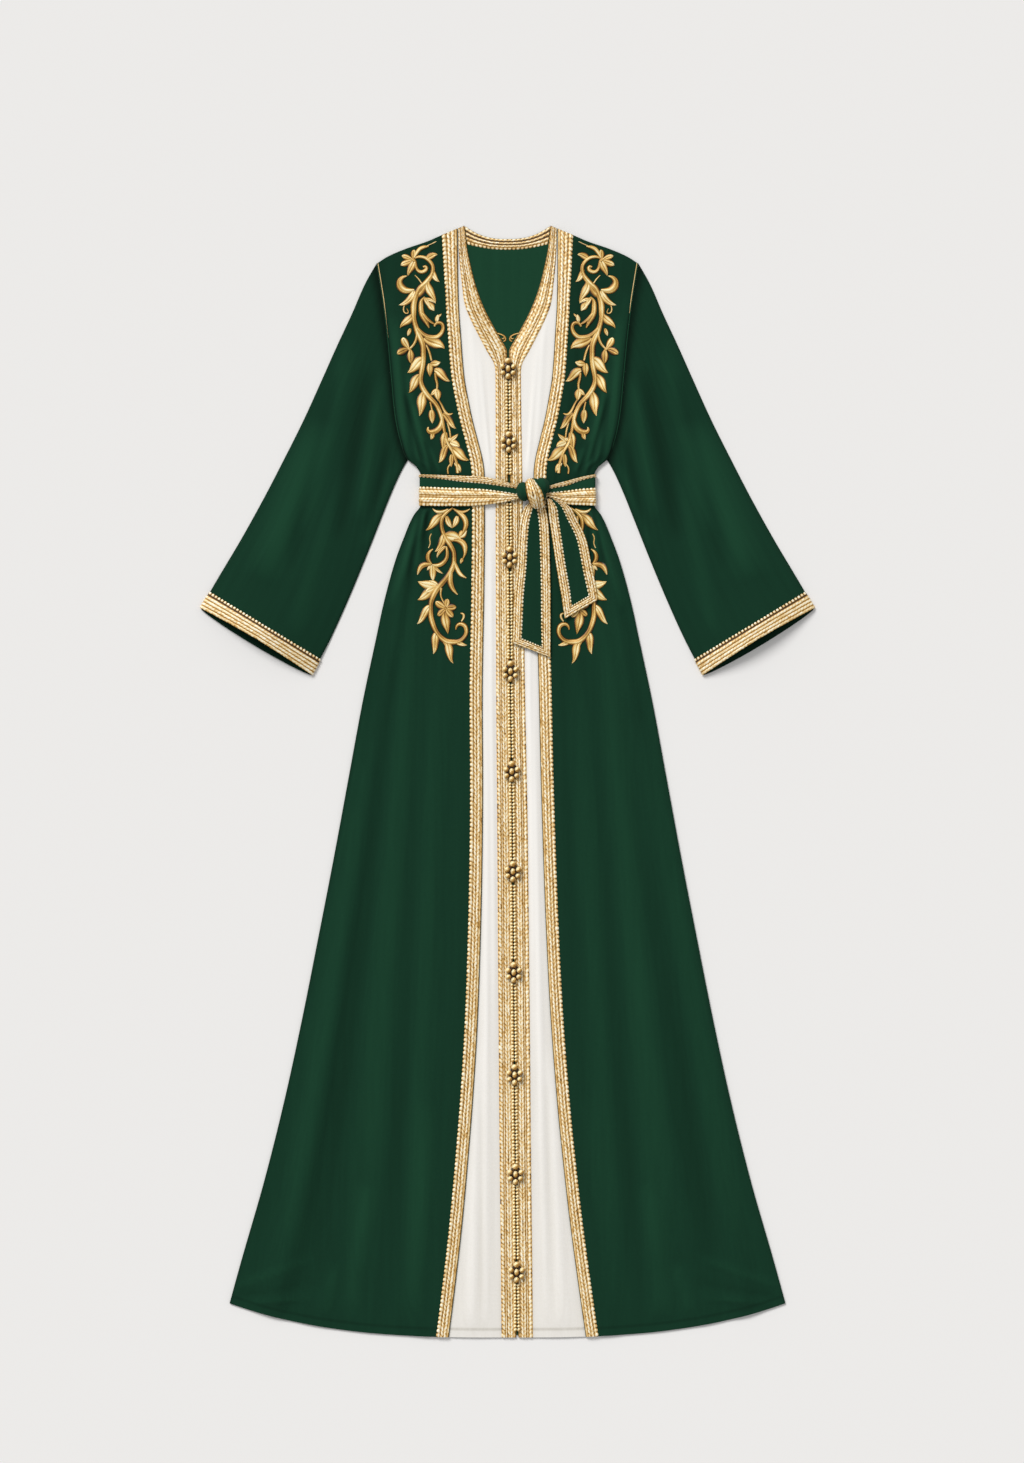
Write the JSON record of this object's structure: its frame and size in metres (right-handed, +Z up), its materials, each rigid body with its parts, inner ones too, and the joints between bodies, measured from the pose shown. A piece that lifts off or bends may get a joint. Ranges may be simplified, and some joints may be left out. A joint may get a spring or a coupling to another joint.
{
  "type": "kaftan",
  "caption": "Full-length kaftan laid flat, front up, with open wide sleeves, a braided front opening over a contrast inset, knot buttons, scroll embroidery and a tied sash.",
  "frame": {"origin": "on the surface the garment lies on, under the middle of its outline", "axes": "+Z up from the surface out of the garment's front, +Y from the hem to the collar, +X to the right of someone who looks down at the front"},
  "size_m": [0.8306, 1.5, 0.0291],
  "materials": {
    "green_cloth": "matt crepe in deep green",
    "ivory_cloth": "soft ivory satin crepe",
    "gold_braid": "plaited gold braid with a soft metallic gleam",
    "gold_thread": "gold thread embroidery and knotted buttons"
  },
  "bodies": {
    "root": {"back": "green_cloth", "braid_back_neck": "gold_braid", "braid_inner_left": "gold_braid", "braid_inner_right": "gold_braid", "braid_outer_left": "gold_braid", "braid_outer_right": "gold_braid", "button_01": "gold_thread", "button_02": "gold_thread", "button_03": "gold_thread", "button_04": "gold_thread", "button_05": "gold_thread", "button_06": "gold_thread", "button_07": "gold_thread", "button_08": "gold_thread", "button_09": "gold_thread", "button_10": "gold_thread", "cuff_band_left": "gold_braid", "cuff_band_right": "gold_braid", "front_left": "green_cloth", "front_right": "green_cloth", "inset_left": "ivory_cloth", "inset_right": "ivory_cloth", "sash": "green_cloth", "sash_braid_lower": "gold_braid", "sash_braid_upper": "gold_braid", "sash_knot": "green_cloth", "sash_tail_braid_long": "gold_braid", "sash_tail_braid_short": "gold_braid", "sash_tail_long": "green_cloth", "sash_tail_short": "green_cloth", "sleeve_left": "green_cloth", "sleeve_right": "green_cloth", "spray_lower_left": "gold_thread", "spray_lower_right": "gold_thread", "spray_upper_left": "gold_thread", "spray_upper_right": "gold_thread"}
  },
  "joints": []
}
